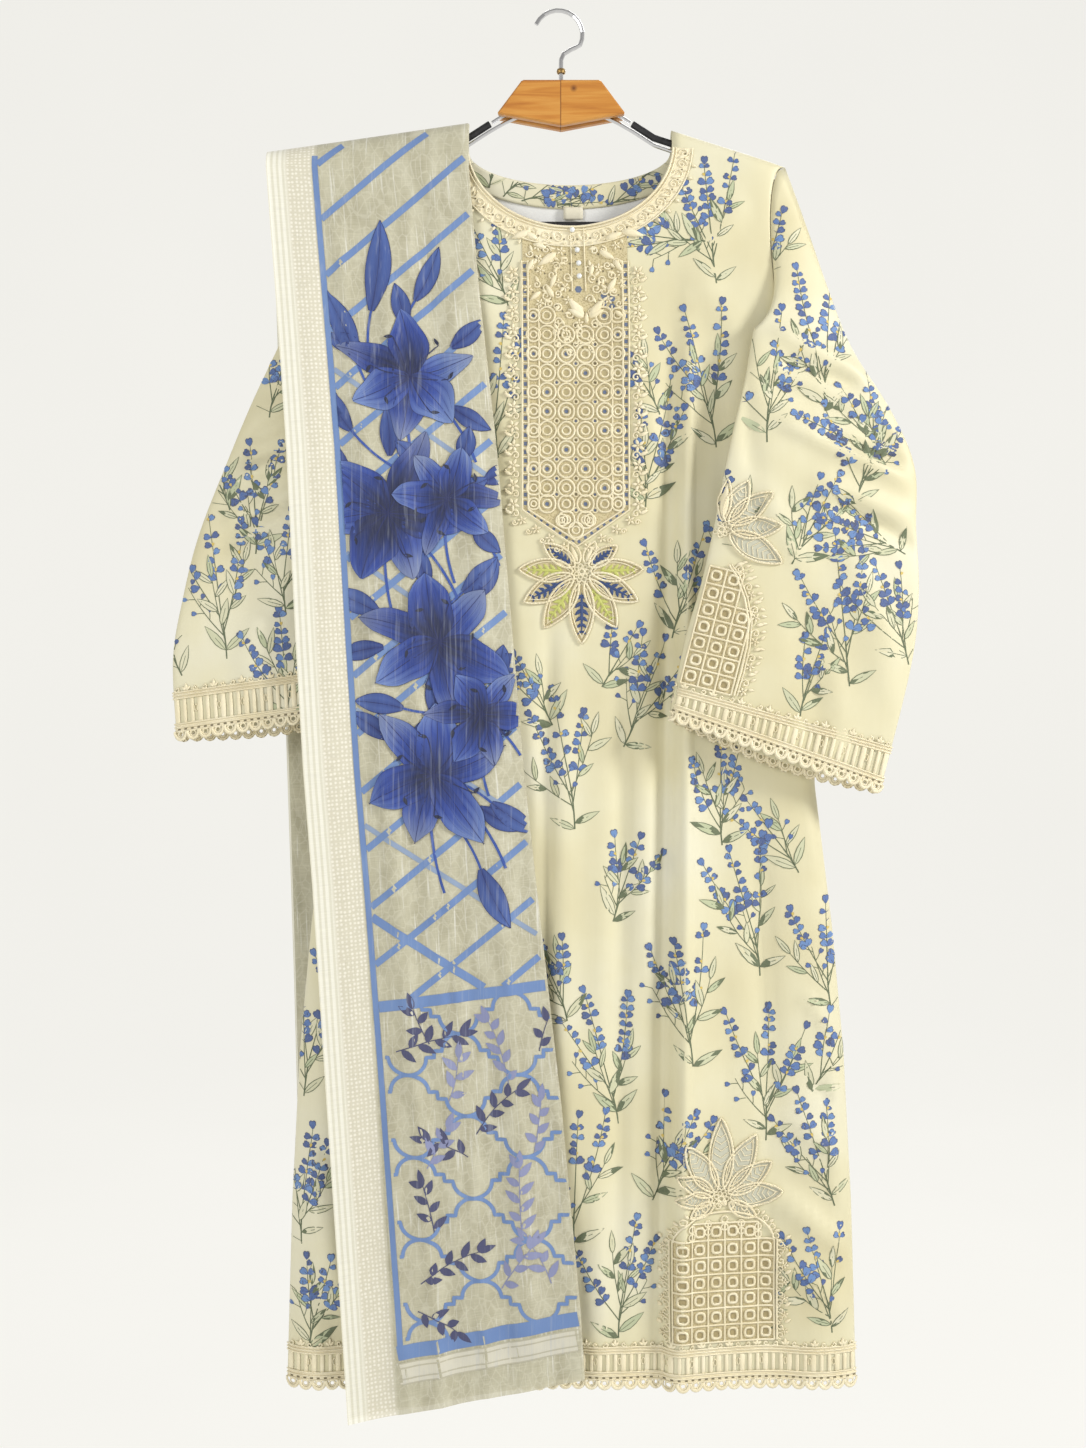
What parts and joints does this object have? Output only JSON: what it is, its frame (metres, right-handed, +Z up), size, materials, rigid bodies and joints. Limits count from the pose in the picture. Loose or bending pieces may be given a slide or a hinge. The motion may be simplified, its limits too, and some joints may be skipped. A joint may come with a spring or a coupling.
{
  "type": "kameez and dupatta on a hanger",
  "caption": "Long-sleeved kameez with cutwork lace trims, hung on a wire and wood hanger, with a folded sheer dupatta over one shoulder.",
  "frame": {"origin": "inside of the hook's crown, the point that a rail carries", "axes": "+Z up, +X to the right of someone who faces the front, -Y out of the front"},
  "size_m": [0.6807, 0.0942, 1.2976],
  "materials": {
    "printed_cloth": "soft cotton satin with a small lavender print",
    "lining": "plain off-white weave",
    "lace": "cream corded cutwork",
    "dupatta": "sheer printed organza with woven borders",
    "chrome": "polished",
    "ferrule": "dull",
    "grip": "matt",
    "wood": "satin varnish"
  },
  "bodies": {
    "root": {"kameez_front": "printed_cloth", "kameez_back": "printed_cloth", "sleeve_left": "printed_cloth", "sleeve_right": "printed_cloth", "neck_facing": "printed_cloth", "back_lining": "lining", "neck_label": "lining", "neck_lace": "lace", "yoke_lace": "lace", "yoke_flower": "lace", "hem_lace": "lace", "hem_arch": "lace", "hem_flower": "lace", "sleeve_arch": "lace", "sleeve_flower": "lace", "cuff_lace_left_back": "lace", "cuff_lace_left_front": "lace", "cuff_lace_right_back": "lace", "cuff_lace_right_front": "lace", "dupatta": "dupatta", "hook": "chrome", "arm_wire_left": "chrome", "arm_wire_right": "chrome", "hook_ferrule": "ferrule", "arm_grip_left": "grip", "arm_grip_right": "grip", "hanger_bar": "grip", "block_front": "wood", "block_back": "wood"}
  },
  "joints": []
}
